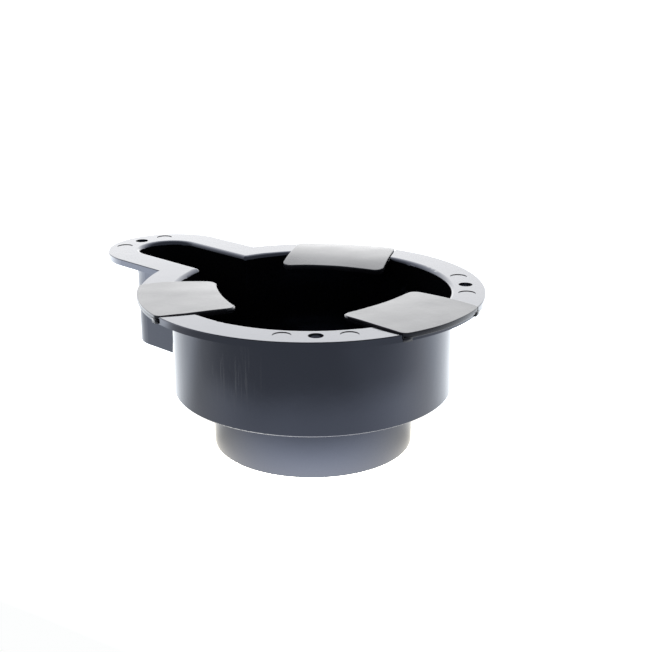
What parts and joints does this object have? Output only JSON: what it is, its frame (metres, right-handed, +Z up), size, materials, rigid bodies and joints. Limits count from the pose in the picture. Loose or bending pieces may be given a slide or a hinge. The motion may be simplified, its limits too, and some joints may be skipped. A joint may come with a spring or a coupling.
{
  "type": "drop-in cup holder",
  "caption": "Drop-in cup holder: stepped round well with a rim flange, a slot for a mug handle, and rubber flaps that bend down around the cup.",
  "frame": {"origin": "centre of the lower cup's base, on the surface that it stands on", "axes": "+Z up along the drum's axis, out of the mouth; -X towards the mug-handle pocket; the flaps lie at 0, 120 and 240 degrees about +Z from +X"},
  "size_m": [0.2056, 0.1524, 0.0726],
  "materials": {
    "holder_plastic": "glossy black moulded plastic",
    "flap_rubber": "satin black rubber"
  },
  "bodies": {
    "holder": {"holder_body": "holder_plastic", "grip_flap_front_root": "flap_rubber", "grip_flap_left_root": "flap_rubber", "grip_flap_right_root": "flap_rubber"},
    "front_tongue": {"grip_flap_front_tongue": "flap_rubber"},
    "left_tongue": {"grip_flap_left_tongue": "flap_rubber"},
    "right_tongue": {"grip_flap_right_tongue": "flap_rubber"}
  },
  "joints": [
    {"name": "front_flap_bend", "type": "hinge", "parent": "holder", "child": "front_tongue", "pos_m": [0.054, 0, 0.0702], "axis": [0, -1, 0], "range_deg": [-20, 75], "stiffness_Nm_per_rad": 0.015},
    {"name": "left_flap_bend", "type": "hinge", "parent": "holder", "child": "left_tongue", "pos_m": [-0.027, 0.04677, 0.0702], "axis": [0.866, 0.5, 0], "range_deg": [-20, 75], "stiffness_Nm_per_rad": 0.015},
    {"name": "right_flap_bend", "type": "hinge", "parent": "holder", "child": "right_tongue", "pos_m": [-0.027, -0.04677, 0.0702], "axis": [-0.866, 0.5, 0], "range_deg": [-20, 75], "stiffness_Nm_per_rad": 0.015}
  ]
}
